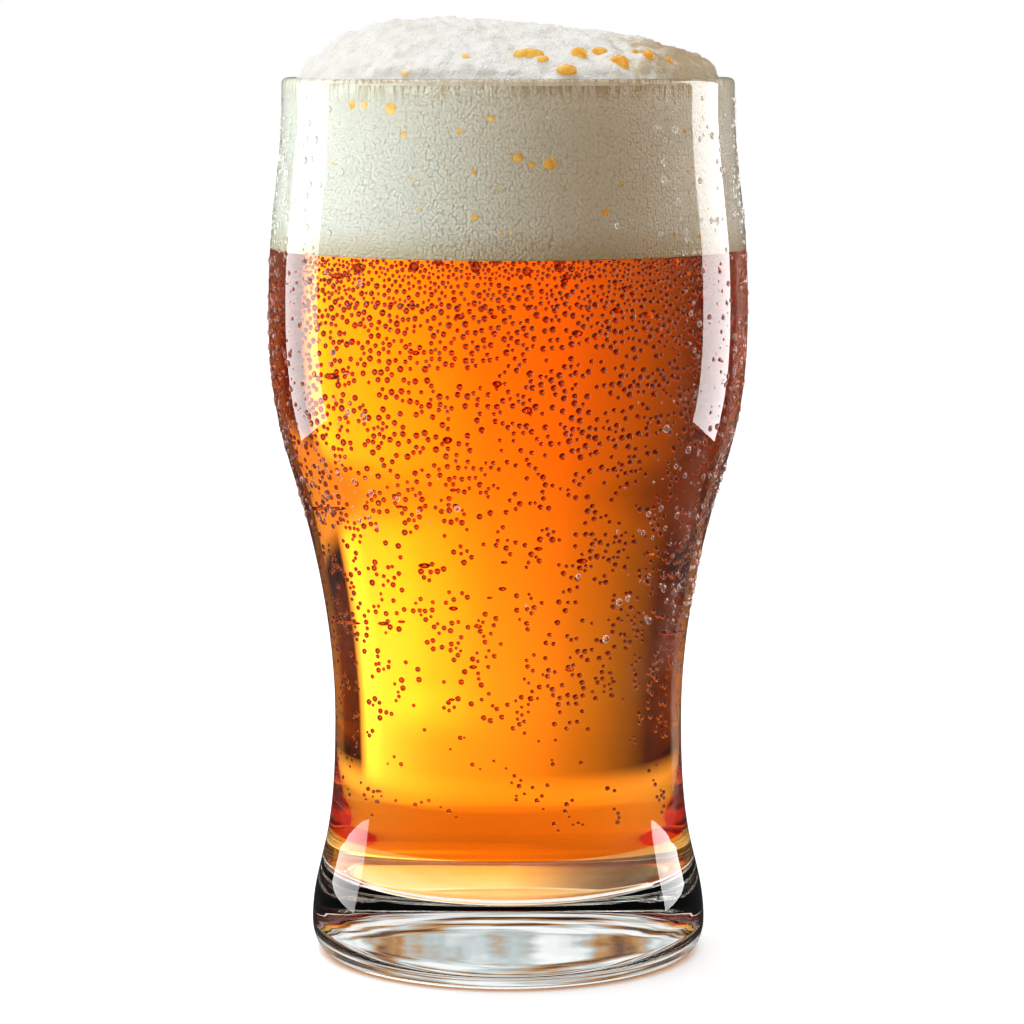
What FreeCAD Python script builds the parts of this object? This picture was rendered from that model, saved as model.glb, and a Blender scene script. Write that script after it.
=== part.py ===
import FreeCAD, Part
import math
import os

# A pint of beer: a tulip pint glass of toughened soda-lime glass, the beer in it, and the head of foam,
# which fills the rest of the glass and stands above the lip in an uneven crown.
# Frame: millimetres, +Z up. The origin is the centre of the foot, on the surface that the glass stands on.
# Each piece is one solid. The beer and the foam touch the inner wall and each other face to face, because
# all three take their outline from the same inner wall curve.

# ---- the glass, outside ----
GLASS_HEIGHT = 160.0    # from the table to the top of the lip
RIM_R = 40.8            # outer radius at the lip
BULGE_R = 43.5          # widest place of the body
BULGE_Z = 117.0
SHOULDER_R = 37.7       # half way up the sweep from the waist to the bulge
SHOULDER_Z = 83.2
WAIST_R = 31.85         # narrowest place, where the hand closes round it
WAIST_Z = 44.0
FLARE_R = 33.75         # where the body turns out towards the foot
FLARE_Z = 20.0
FOOT_R = 36.2           # widest place of the heavy foot
FOOT_Z = 5.7
REST_R = 32.6           # outer radius of the ring that the glass rests on
REST_WIDTH = 2.0        # width of that ring
PUNT_DEPTH = 1.6        # how far the underside is hollowed inside the ring

# ---- the glass, inside ----
WALL_RIM = 2.2          # the lip is a full round of this thickness
WALL_BULGE = 2.4
WALL_SHOULDER = 2.6
WALL_WAIST = 3.0
WALL_LOW = 4.0          # wall from the flare down to the top of the floor's rounded corner
FLOOR_Z = 13.2          # top of the solid base, at the axis
CORNER_RISE = 3.0       # the floor's corner is a quarter of an ellipse, this high
CORNER_RUN = 8.0        # and this wide

# ---- the drink ----
BEER_LEVEL = 129.3      # height of the line between beer and foam
CROWN_HEIGHT = 10.6     # highest point of the foam above the lip
CROWN_INSET = 0.7       # step between the inner wall and the edge of the crown
CROWN_LEAN_X = -13.5    # the peak stands this far from the axis
CROWN_LEAN_Y = 4.0
CROWN_SHOULDER = 0.65   # power that rounds the crown: lower is boxier, higher is more pointed
CROWN_DRIFT = 2.5       # power with which the contours move over to the peak as they rise
CROWN_CAP_SHARE = 0.965  # the crown is cut flat at this share of its height
CROWN_EVEN_SHARE = 0.4  # the contours grow uneven up to this share of the height, from a plain circle
CROWN_SECTIONS = 9      # contours that the crown is lofted through
CONTOUR_POINTS = 28     # points that each contour is drawn through
# unevenness of a contour: (waves round it, share of its radius, turn of the wave in degrees)
CROWN_WAVES = ((2, 0.022, 200.0), (3, 0.026, 75.0), (5, 0.014, 310.0))

UPRIGHT = FreeCAD.Vector(0, 0, 1)
AXIS_POINT = FreeCAD.Vector(0, 0, 0)
PARTS_FOLDER = "parts"


def at(radius, height):
    """A point of the half section, which is drawn in the XZ plane."""
    return FreeCAD.Vector(radius, 0, height)


def line(start, end):
    return Part.LineSegment(start, end).toShape()


def wall_curve(stations):
    """A smooth curve through (radius, height, stands upright there) stations, from the lowest up."""
    curve = Part.BSplineCurve()
    curve.interpolate(
        Points=[at(radius, height) for radius, height, _ in stations],
        Tangents=[UPRIGHT] * len(stations),
        TangentFlags=[upright for _, _, upright in stations],
    )
    return curve.toShape()


def quarter_ellipse(centre, run, rise, start_turn):
    """A quarter of an ellipse in the half section, anticlockwise from start_turn, in quarter turns."""
    quarter = math.pi / 2
    if run >= rise:
        ellipse = Part.Ellipse(centre + at(run, 0), centre + at(0, rise), centre)
        first = start_turn * quarter
    else:
        ellipse = Part.Ellipse(centre + at(0, rise), centre - at(run, 0), centre)
        first = (start_turn - 1) * quarter
    return Part.Arc(ellipse, first, first + quarter).toShape()


def revolve(edges):
    """The solid that the half section bounded by these edges sweeps round the axis."""
    wire = Part.Wire(Part.__sortEdges__(edges))
    solid = Part.Face(wire).revolve(AXIS_POINT, UPRIGHT, 360)
    return Part.Solid(solid) if solid.ShapeType == "Shell" else solid


def lip_base_z():
    """Height where both sides of the wall run into the round of the lip."""
    return GLASS_HEIGHT - WALL_RIM / 2


def outer_wall():
    return wall_curve([
        (FOOT_R, FOOT_Z, True),
        (FLARE_R, FLARE_Z, False),
        (WAIST_R, WAIST_Z, True),
        (SHOULDER_R, SHOULDER_Z, False),
        (BULGE_R, BULGE_Z, True),
        (RIM_R, lip_base_z(), True),
    ])


def inner_outline():
    """The inner wall and floor as edges, from the round of the lip down to the axis."""
    low_r = FLARE_R - WALL_LOW
    corner_top_z = FLOOR_Z + CORNER_RISE
    wall = wall_curve([
        (low_r, corner_top_z, True),
        (WAIST_R - WALL_WAIST, WAIST_Z, True),
        (SHOULDER_R - WALL_SHOULDER, SHOULDER_Z, False),
        (BULGE_R - WALL_BULGE, BULGE_Z, True),
        (RIM_R - WALL_RIM, lip_base_z(), True),
    ])
    corner_start_r = low_r - CORNER_RUN
    corner = quarter_ellipse(at(corner_start_r, corner_top_z), CORNER_RUN, CORNER_RISE, 3)
    floor = line(at(0, FLOOR_Z), at(corner_start_r, FLOOR_Z))
    return [floor, corner, wall]


def foot_outline():
    """The underside as edges, from the axis out to the widest place of the foot."""
    rest_inner_r = REST_R - REST_WIDTH
    punt_middle = at(rest_inner_r / 2, PUNT_DEPTH * 3 / 4)
    punt = Part.Arc(at(0, PUNT_DEPTH), punt_middle, at(rest_inner_r, 0)).toShape()
    rest = line(at(rest_inner_r, 0), at(REST_R, 0))
    heel = quarter_ellipse(at(REST_R, FOOT_Z), FOOT_R - REST_R, FOOT_Z, 3)
    return [punt, rest, heel]


def lip_outline():
    outer = at(RIM_R, lip_base_z())
    top = at(RIM_R - WALL_RIM / 2, GLASS_HEIGHT)
    inner = at(RIM_R - WALL_RIM, lip_base_z())
    return Part.Arc(outer, top, inner).toShape()


def make_glass():
    axis = line(at(0, PUNT_DEPTH), at(0, FLOOR_Z))
    return revolve(foot_outline() + [outer_wall(), lip_outline()] + inner_outline() + [axis])


def make_cavity():
    """The whole space inside the glass, up to the level of the lip."""
    inner_rim_r = RIM_R - WALL_RIM
    neck = line(at(inner_rim_r, lip_base_z()), at(inner_rim_r, GLASS_HEIGHT))
    top = line(at(inner_rim_r, GLASS_HEIGHT), at(0, GLASS_HEIGHT))
    axis = line(at(0, GLASS_HEIGHT), at(0, FLOOR_Z))
    return revolve(inner_outline() + [neck, top, axis])


def slab(low_z, high_z):
    """A disc wider than the glass, to cut the cavity at a level."""
    return Part.makeCylinder(2 * BULGE_R, high_z - low_z, at(0, low_z))


def make_beer():
    return make_cavity().common(slab(0, BEER_LEVEL))


def crown_contour(share):
    """The crown's closed outline at a share of its height, which moves over to the peak as it rises."""
    edge_r = RIM_R - WALL_RIM - CROWN_INSET
    radius = edge_r * (1 - share ** 2) ** CROWN_SHOULDER
    middle_x = CROWN_LEAN_X * share ** CROWN_DRIFT
    middle_y = CROWN_LEAN_Y * share ** CROWN_DRIFT
    fade = min(1.0, share / CROWN_EVEN_SHARE)
    points = []
    for step in range(CONTOUR_POINTS):
        turn = 2 * math.pi * step / CONTOUR_POINTS
        uneven = 0.0
        for waves, size, phase in CROWN_WAVES:
            uneven += size * math.sin(waves * turn + math.radians(phase))
        reach = radius * (1 + fade * uneven)
        points.append(FreeCAD.Vector(
            middle_x + reach * math.cos(turn),
            middle_y + reach * math.sin(turn),
            GLASS_HEIGHT + CROWN_HEIGHT * share,
        ))
    contour = Part.BSplineCurve()
    contour.interpolate(Points=points, PeriodicFlag=True)
    return Part.Wire(contour.toShape())


def make_crown():
    """The uneven heap of foam above the lip, lofted through its contours."""
    last = CROWN_SECTIONS - 1
    shares = [CROWN_CAP_SHARE * math.sin(math.pi / 2 * k / last) for k in range(CROWN_SECTIONS)]
    return Part.makeLoft([crown_contour(share) for share in shares], True)


def make_foam():
    head = make_cavity().common(slab(BEER_LEVEL, 2 * GLASS_HEIGHT))
    return head.fuse(make_crown())


def one_solid(shape):
    solids = shape.Solids
    assert len(solids) == 1, f"expected one solid, got {len(solids)}"
    solid = solids[0]
    assert solid.isValid(), "the solid isn't valid"
    return solid


def main():
    os.makedirs(PARTS_FOLDER, exist_ok=True)
    pieces = {"glass": make_glass(), "beer": make_beer(), "foam": make_foam()}
    for node, shape in pieces.items():
        solid = one_solid(shape)
        solid.exportStep(f"{PARTS_FOLDER}/{node}.step")
        box = solid.optimalBoundingBox(False)
        print(f"{node}: {solid.Volume / 1000:.1f} ml, z {box.ZMin:.2f} to {box.ZMax:.2f}, "
              f"x {box.XMin:.2f} to {box.XMax:.2f}, y {box.YMin:.2f} to {box.YMax:.2f}")
    print(f"to the brim: {make_cavity().Volume / 1000:.1f} ml")


main()
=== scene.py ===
# %% [markdown]
# # A pint of beer
# A tulip pint glass with a heavy clear foot, filled with golden beer under a deep head of foam. Each piece
# here takes its place from the frame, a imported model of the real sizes, in metres with +Z up. The order is
# the maker's: the glass first, then the beer and the foam that fill it, then the bubbles and water drops.

# %% Load the frame
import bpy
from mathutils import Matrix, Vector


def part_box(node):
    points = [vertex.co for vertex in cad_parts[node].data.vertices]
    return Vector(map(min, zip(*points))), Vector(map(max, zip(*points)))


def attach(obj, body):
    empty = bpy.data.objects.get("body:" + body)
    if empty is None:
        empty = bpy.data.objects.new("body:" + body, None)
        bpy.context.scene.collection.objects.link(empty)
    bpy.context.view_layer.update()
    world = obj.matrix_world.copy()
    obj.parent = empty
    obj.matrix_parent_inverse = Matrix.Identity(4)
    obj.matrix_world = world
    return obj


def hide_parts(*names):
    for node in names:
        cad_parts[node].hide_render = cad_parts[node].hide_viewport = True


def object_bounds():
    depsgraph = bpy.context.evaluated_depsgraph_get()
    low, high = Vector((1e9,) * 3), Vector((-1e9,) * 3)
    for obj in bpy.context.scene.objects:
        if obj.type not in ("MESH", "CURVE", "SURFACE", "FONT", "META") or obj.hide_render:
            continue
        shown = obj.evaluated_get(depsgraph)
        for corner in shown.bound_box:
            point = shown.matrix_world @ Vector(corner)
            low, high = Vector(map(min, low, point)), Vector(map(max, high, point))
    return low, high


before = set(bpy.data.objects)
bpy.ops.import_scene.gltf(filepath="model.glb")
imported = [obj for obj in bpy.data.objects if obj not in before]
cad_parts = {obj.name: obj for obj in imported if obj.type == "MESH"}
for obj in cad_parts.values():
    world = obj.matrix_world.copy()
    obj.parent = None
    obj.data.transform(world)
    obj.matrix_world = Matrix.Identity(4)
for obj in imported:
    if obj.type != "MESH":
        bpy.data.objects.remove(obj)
cad_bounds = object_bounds()
print("frame:", sorted(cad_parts), "box", [tuple(round(v, 4) for v in corner) for corner in cad_bounds])

# %% [markdown]
# ## Tools for every piece
# A lesson in modelling by hand needs few helpers: pick an object, pick some of its vertices or faces by a
# rule, and run an edit-mode operator. Lengths are in millimetres times MM, because Blender counts in metres.

# %% Helpers for modelling
import math
import random

import bpy
import numpy as np
from mathutils import Vector

MM = 0.001


def pick(obj):
    """Makes obj the only selected object and the active one."""
    bpy.ops.object.select_all(action="DESELECT")
    obj.select_set(True)
    bpy.context.view_layer.objects.active = obj
    return obj


def copy_of(obj, name):
    """A copy of obj with a mesh of its own, which rides on nothing yet."""
    twin = obj.copy()
    twin.data = obj.data.copy()
    twin.name = twin.data.name = name
    twin.parent = None
    twin.hide_render = False
    for key in list(twin.keys()):
        del twin[key]
    bpy.context.scene.collection.objects.link(twin)
    return twin


def edit(obj, element="VERT"):
    """Enters edit mode on obj, ready to work on VERT, EDGE or FACE."""
    pick(obj)
    bpy.ops.object.mode_set(mode="EDIT")
    bpy.ops.mesh.select_mode(type=element)


def done():
    bpy.ops.object.mode_set(mode="OBJECT")


def choose(obj, rule, element="VERT"):
    """Enters edit mode with just those vertices or faces selected for which rule(element) is true."""
    edit(obj, element)
    bpy.ops.mesh.select_all(action="DESELECT")
    done()
    items = obj.data.polygons if element == "FACE" else obj.data.vertices
    for item in items:
        item.select = bool(rule(item))
    bpy.ops.object.mode_set(mode="EDIT")


def radius_of(point):
    return math.hypot(point[0], point[1])


def count(obj):
    obj.data.calc_loop_triangles()
    print(obj.name + ":", len(obj.data.vertices), "vertices,", len(obj.data.loop_triangles), "triangles")


# %% [markdown]
# ## Tools for every finish
# Every finish is a small tree of nodes. One function adds a node with its settings and its links, and one
# turns a colour as a painter writes it, a six-digit hex value, into the linear numbers that light needs.

# %% Helpers for materials
def linear(hex_colour, alpha=1.0):
    """An sRGB hex colour such as 'f4ecd8' as linear red, green, blue and alpha."""
    channels = []
    for start in (0, 2, 4):
        value = int(hex_colour[start:start + 2], 16) / 255
        channels.append(value / 12.92 if value <= 0.04045 else ((value + 0.055) / 1.055) ** 2.4)
    return (*channels, alpha)


def add_node(tree, kind, inputs=None, stops=None, **settings):
    """Adds a node: settings are its options, inputs its sockets' values or links, stops a ramp's marks."""
    node = tree.nodes.new(kind)
    for option, value in settings.items():
        setattr(node, option, value)
    for socket, value in (inputs or {}).items():
        if isinstance(value, bpy.types.NodeSocket):
            tree.links.new(value, node.inputs[socket])
        else:
            node.inputs[socket].default_value = value
    for number, (position, colour) in enumerate(stops or []):
        marks = node.color_ramp.elements
        mark = marks[number] if number < len(marks) else marks.new(position)
        mark.position = position
        mark.color = colour
    return node


def new_material(name):
    """An empty material, its node tree, and its output node."""
    material = bpy.data.materials.new(name)
    material.use_nodes = True
    material.node_tree.nodes.clear()
    output = material.node_tree.nodes.new("ShaderNodeOutputMaterial")
    return material, material.node_tree, output


# %% [markdown]
# ## The glass
# A pint glass is blown or pressed while it spins, so it is a perfect body of revolution. It could be a
# cylinder scaled ring by ring, but its section already exists: the frame's glass has a seam in the XZ plane,
# and the vertices on that seam lie exactly on the real outline. The seam is kept, smoothed as a Bezier
# curve through those points, and spun once round the axis with finer steps than the frame has.

# %% Trace the section of the glass
SEAM_TOLERANCE = 0.001 * MM
CURVE_STEPS = 3         # straight pieces between two points of the traced outline
SPIN_STEPS = 144        # a ring has this many sides, which leaves 0.01 mm between chord and circle

glass = copy_of(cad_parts["glass"], "pint_glass")
edit(glass)
bpy.ops.mesh.select_all(action="SELECT")
bpy.ops.mesh.remove_doubles(threshold=SEAM_TOLERANCE)
done()
choose(glass, lambda v: abs(v.co.y) > SEAM_TOLERANCE or v.co.x < -SEAM_TOLERANCE)
bpy.ops.mesh.delete(type="VERT")
done()
glass.data.materials.clear()
print("outline points on the seam:", len(glass.data.vertices))

pick(glass)
bpy.ops.object.convert(target="CURVE")
bpy.ops.object.mode_set(mode="EDIT")
bpy.ops.curve.select_all(action="SELECT")
bpy.ops.curve.spline_type_set(type="BEZIER")
bpy.ops.curve.handle_type_set(type="AUTOMATIC")
done()
glass.data.resolution_u = CURVE_STEPS
bpy.ops.object.convert(target="MESH")
glass = bpy.context.object
print("outline points after smoothing:", len(glass.data.vertices))

# %% [markdown]
# ### From the section to the body
# The section stops at the edge of the flat floor, since the frame needs no point between that edge and the
# axis. One extrusion carries it there. A Screw modifier could sweep the section round too, but Spin in edit
# mode shows each step. The last ring falls on the first, so the two are merged and the body is closed.

# %% Close the floor to the axis and spin
UNDERSIDE = 5 * MM      # the underside is hollowed less than this, and the floor inside lies higher
RING_TOLERANCE = 0.005 * MM

floor_edge = min((v.co.copy() for v in glass.data.vertices if v.co.z > UNDERSIDE), key=lambda co: co.x)
choose(glass, lambda v: (v.co - floor_edge).length < SEAM_TOLERANCE)
bpy.ops.mesh.extrude_region_move(TRANSFORM_OT_translate={"value": (-floor_edge.x, 0, 0)})
bpy.ops.mesh.select_all(action="SELECT")
bpy.ops.mesh.spin(steps=SPIN_STEPS, angle=2 * math.pi, center=(0, 0, 0), axis=(0, 0, 1))
bpy.ops.mesh.select_all(action="SELECT")
bpy.ops.mesh.remove_doubles(threshold=RING_TOLERANCE)
bpy.ops.mesh.normals_make_consistent(inside=False)
done()
bpy.ops.object.shade_smooth()
count(glass)

# %% [markdown]
# ## The room inside the glass
# Beer and foam fill the glass to the wall, so both start as a cast of its inside: the faces that look at
# the axis, cut level at two heights and capped. Then the cast is swollen by a hair, so that it reaches just
# into the wall. Light then passes from glass to beer with no film of air between them.

# %% Cast a slice of the inside
OVERLAP = 0.15 * MM     # how far a filling reaches into the wall
CLOSE_RINGS = 0.02 * MM  # a cut this near to a ring of vertices is merged with it
FACES_IN = -0.05        # a face whose normal has this much of it along the radius looks at the axis
FACES_UP = 0.9          # and one whose normal has more than this upright lies level
SHARP_EDGE = 40         # degrees; a filling keeps a crisp edge where two faces meet at more than this
FOAM_TOP = 1.25 * MM    # the foam in the glass ends this far below the lip, hidden by the crown


def looks_inside(face):
    """True for the inner wall and the floor, and not for the hollow of the underside."""
    radius = max(radius_of(face.center), SEAM_TOLERANCE)
    inward = (face.normal.x * face.center.x + face.normal.y * face.center.y) / radius
    on_floor = face.normal.z > FACES_UP and face.center.z < cad_bounds[1].z / 2
    return on_floor or (inward < FACES_IN and face.center.z > UNDERSIDE)


def cast(name, bottom, top):
    """The room inside the glass between two heights, as a closed mesh that reaches into the wall."""
    slice_of_room = copy_of(glass, name)
    choose(slice_of_room, lambda f: not looks_inside(f), "FACE")
    bpy.ops.mesh.delete(type="FACE")
    bpy.ops.mesh.select_all(action="SELECT")
    bpy.ops.mesh.bisect(plane_co=(0, 0, top), plane_no=(0, 0, 1), use_fill=True, clear_outer=True)
    if bottom > floor_edge.z:
        bpy.ops.mesh.select_all(action="SELECT")
        bpy.ops.mesh.bisect(plane_co=(0, 0, bottom), plane_no=(0, 0, -1), use_fill=True, clear_outer=True)
    bpy.ops.mesh.select_all(action="SELECT")
    bpy.ops.mesh.remove_doubles(threshold=CLOSE_RINGS)
    bpy.ops.mesh.normals_make_consistent(inside=False)
    bpy.ops.transform.shrink_fatten(value=OVERLAP)
    done()
    bpy.ops.object.shade_smooth_by_angle(angle=math.radians(SHARP_EDGE))
    return slice_of_room


beer_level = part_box("beer")[1].z
lip_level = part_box("glass")[1].z
beer = cast("beer_body", 0, beer_level)
count(beer)
foam = cast("foam_body", beer_level, lip_level - FOAM_TOP)
count(foam)

# %% [markdown]
# ## Clear glass
# Toughened soda-lime glass, fire polished: no colour in a thin wall, a faint green-grey in the thick foot,
# and a surface so smooth that only the slow waves of pressing bend a highlight. Its index of refraction is
# 1.52. Where beer wets the inside, glass meets beer and not air, and such a face hardly reflects, so the
# wetted wall gets the same finish with the head-on reflection taken away. The floor and its round corner
# keep the plain finish, because light from below grazes them and a grazed face mirrors the foot.

# %% Glass finishes
GLASS_IOR = 1.52
WAVE_WIDTH = 14 * MM     # the slow waves that pressing leaves in the surface
WAVE_DEPTH = 0.02 * MM
WETTED_FROM = 22 * MM    # above the floor and its corner


def clear_glass(name, wetted):
    material, tree, output = new_material(name)
    place = add_node(tree, "ShaderNodeTexCoord").outputs["Object"]
    waves = add_node(tree, "ShaderNodeTexNoise",
                     {"Vector": place, "Scale": 1 / WAVE_WIDTH, "Detail": 1.0, "Roughness": 0.4})
    bump = add_node(tree, "ShaderNodeBump",
                    {"Height": waves.outputs["Fac"], "Strength": 1.0, "Distance": WAVE_DEPTH})
    tint = add_node(tree, "ShaderNodeValToRGB", {"Fac": waves.outputs["Fac"]},
                    [(0.3, linear("fbfefd")), (0.7, linear("fefffe"))])
    shader = add_node(tree, "ShaderNodeBsdfPrincipled", {
        "Base Color": tint.outputs["Color"], "Roughness": 0.0, "IOR": GLASS_IOR, "Transmission Weight": 1.0,
        "Normal": bump.outputs["Normal"],
    })
    if wetted:
        shader.inputs["Specular Tint"].default_value = (0, 0, 0, 1)
    tree.links.new(shader.outputs["BSDF"], output.inputs["Surface"])
    return material


glass.data.materials.append(clear_glass("fire_polished_glass", wetted=False))
glass.data.materials.append(clear_glass("beer_wetted_glass", wetted=True))
for face in glass.data.polygons:
    face.material_index = int(looks_inside(face) and WETTED_FROM < face.center.z < beer_level)
print("glass finishes:", [finish.name for finish in glass.data.materials])

# %% [markdown]
# ## Beer
# Golden ale, bright-filtered: water with malt colour dissolved in it. The colour is all in the depth. Most
# blue light is gone within two centimetres, green is halved every two or three, and red hardly fades. So a
# thin layer is yellow and the full width of the glass is deep orange. A tinted surface could only give one
# colour, while Volume absorption does just this. A channel fades by one minus its colour, times the
# density, in each metre, so the colour is worked out here from the fading.

# %% Beer finish
BEER_IOR = 1.34
FADE_PER_METRE = (3.0, 30.0, 95.0)      # red, green, blue
FADE_DENSITY = 100.0                    # above the largest fading


def bright_ale(name, at_wall):
    """Beer; at the wall it meets glass and hardly mirrors, at the floor it mirrors what grazes it."""
    material, tree, output = new_material(name)
    mirrored = 0 if at_wall else 1
    shader = add_node(tree, "ShaderNodeBsdfPrincipled", {
        "Base Color": (1, 1, 1, 1), "Roughness": 0.0, "IOR": BEER_IOR, "Transmission Weight": 1.0,
        "Specular Tint": (mirrored, mirrored, mirrored, 1),
    })
    passed = [1 - fade / FADE_DENSITY for fade in FADE_PER_METRE]
    volume = add_node(tree, "ShaderNodeVolumeAbsorption", {"Color": (*passed, 1), "Density": FADE_DENSITY})
    tree.links.new(shader.outputs["BSDF"], output.inputs["Surface"])
    tree.links.new(volume.outputs["Volume"], output.inputs["Volume"])
    return material


beer.data.materials.clear()
beer.data.materials.append(bright_ale("bright_filtered_ale", at_wall=True))
beer.data.materials.append(bright_ale("bright_filtered_ale_at_the_floor", at_wall=False))
for face in beer.data.polygons:
    face.material_index = int(face.center.z < WETTED_FROM)
print("beer finishes:", [finish.name for finish in beer.data.materials])

# %% [markdown]
# ## The crown
# Above the lip the foam stands in a heap that leans to the left, lumpy and torn where it was poured. The
# frame has its plain shape. That shape is cut off just below the lip and drawn in a little, clear of the
# wall. A voxel remesh then gives it an even fine skin, which the long thin triangles of the frame lack.

# %% Cut off the crown and give it a skin
CROWN_ROOT = 4 * MM     # how far the crown reaches down into the foam of the glass
CROWN_SKIN = 0.55 * MM  # size of the voxels
CROWN_SLIM = 0.992      # how much it is drawn in

crown = copy_of(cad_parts["foam"], "foam_crown")
crown.data.materials.clear()
edit(crown)
bpy.ops.mesh.select_all(action="SELECT")
bpy.ops.mesh.remove_doubles(threshold=SEAM_TOLERANCE)
bpy.ops.mesh.select_all(action="SELECT")
bpy.ops.mesh.bisect(plane_co=(0, 0, lip_level - CROWN_ROOT), plane_no=(0, 0, -1), use_fill=True,
                    clear_outer=True)
bpy.ops.mesh.select_all(action="SELECT")
bpy.ops.transform.resize(value=(CROWN_SLIM, CROWN_SLIM, 1), center_override=(0, 0, 0))
done()
remesh = crown.modifiers.new("skin", "REMESH")
remesh.mode = "VOXEL"
remesh.voxel_size = CROWN_SKIN
bpy.ops.object.modifier_apply(modifier=remesh.name)
count(crown)

# %% [markdown]
# ### Lumps and froth
# The crown could be sculpted stroke by stroke, but its lumps have no order. So the skin is raised and sunk
# along its normals by two cloud patterns: one for the lumps, one for the small bubbles. A vertex group
# fades both out towards the lip, so that the crown still fits into the glass.

# %% Raise the lumps of the crown
LUMPS = {"width": 4.5 * MM, "height": 2.8 * MM}
FROTH = {"width": 1.5 * MM, "height": 0.7 * MM}
FREE_FROM = 1.5 * MM    # the lumps have their full height from here above the lip

free = crown.vertex_groups.new(name="free of the glass")
for vertex in crown.data.vertices:
    free.add([vertex.index], min(1, max(0, (vertex.co.z - lip_level) / FREE_FROM)), "REPLACE")
for label, relief in (("lumps", LUMPS), ("froth", FROTH)):
    texture = bpy.data.textures.new(label, "CLOUDS")
    texture.noise_scale = relief["width"]
    texture.noise_depth = 2
    displace = crown.modifiers.new(label, "DISPLACE")
    displace.texture = texture
    displace.strength = relief["height"]
    displace.mid_level = 0.5
    displace.vertex_group = free.name
    bpy.ops.object.modifier_apply(modifier=displace.name)
crown.vertex_groups.clear()
bpy.ops.object.shade_smooth()
count(crown)

# %% [markdown]
# ## Foam at the wall
# A head of beer is a pack of bubbles about half a millimetre across, held between films of beer. Against
# the wall they look like pebbled leather: each bubble a small cushion with a darker seam round it. A
# Voronoi pattern has one cell for each bubble, so it gives both the relief and the seams. Just above the
# beer the bubbles are larger and the films thicker, which makes the foam tan there, and under the lip the
# film that ran back down the wall has left fine upright tan streaks.

# %% Patterns of the foam at the wall
WALL_RADIUS = 40 * MM   # the wall is unrolled at this radius, so that the pattern lies flat on it
STREAK_WIDTH = 0.5 * MM
STREAK_STRETCH = 10     # a streak is this many times longer than it is wide
STREAK_TOP = 1.0 * MM   # the streaks hang between these two depths below the lip
STREAK_FOOT = 4.5 * MM


def unrolled_wall(tree, parts):
    """The place on the wall as if it were rolled out flat: length along the wall, and height."""
    turn = add_node(tree, "ShaderNodeMath", {0: parts.outputs["X"], 1: parts.outputs["Y"]},
                    operation="ARCTAN2")
    along = add_node(tree, "ShaderNodeMath", {0: turn.outputs["Value"], 1: WALL_RADIUS},
                     operation="MULTIPLY")
    return add_node(tree, "ShaderNodeCombineXYZ", {"X": along.outputs["Value"], "Y": parts.outputs["Z"]})


def upright_streaks(tree, place, parts):
    """How much of the streaks shows at each place, from 0 to 1."""
    narrow = add_node(tree, "ShaderNodeMapping", {
        "Vector": place,
        "Scale": (1 / STREAK_WIDTH, 1 / STREAK_WIDTH, 1 / STREAK_STRETCH / STREAK_WIDTH)})
    drips = add_node(tree, "ShaderNodeTexNoise", {"Vector": narrow.outputs["Vector"], "Scale": 1.0})
    drip = add_node(tree, "ShaderNodeValToRGB", {"Fac": drips.outputs["Fac"]},
                    [(0.45, (0, 0, 0, 1)), (0.6, (1, 1, 1, 1))])
    band = add_node(tree, "ShaderNodeMapRange", {
        "Value": parts.outputs["Z"], "From Min": lip_level - STREAK_FOOT, "From Max": lip_level - STREAK_TOP,
        "To Min": 0.0, "To Max": 0.8})
    return add_node(tree, "ShaderNodeMath", {0: band.outputs["Result"], 1: drip.outputs["Color"]},
                    operation="MULTIPLY")


# %% [markdown]
# ### The finish at the wall
# Squaring the distance to a bubble's middle rounds the cushion off, and the same distance picks the colour,
# pale in the middle and darker at the seam. Tan and streaks are then laid over it, as the beer's film is.

# %% Finish of the foam at the wall
BUBBLE_PITCH = 0.56 * MM
BUBBLE_RELIEF = 0.6     # height of a cushion, as a share of the pitch
SEAM_TAN = 5 * MM       # height of the tan zone above the beer
CREAM = {"pale": "f8f5ec", "seam": "efe6d3", "tan": "dccaa6", "streak": "c2a468"}


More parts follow.
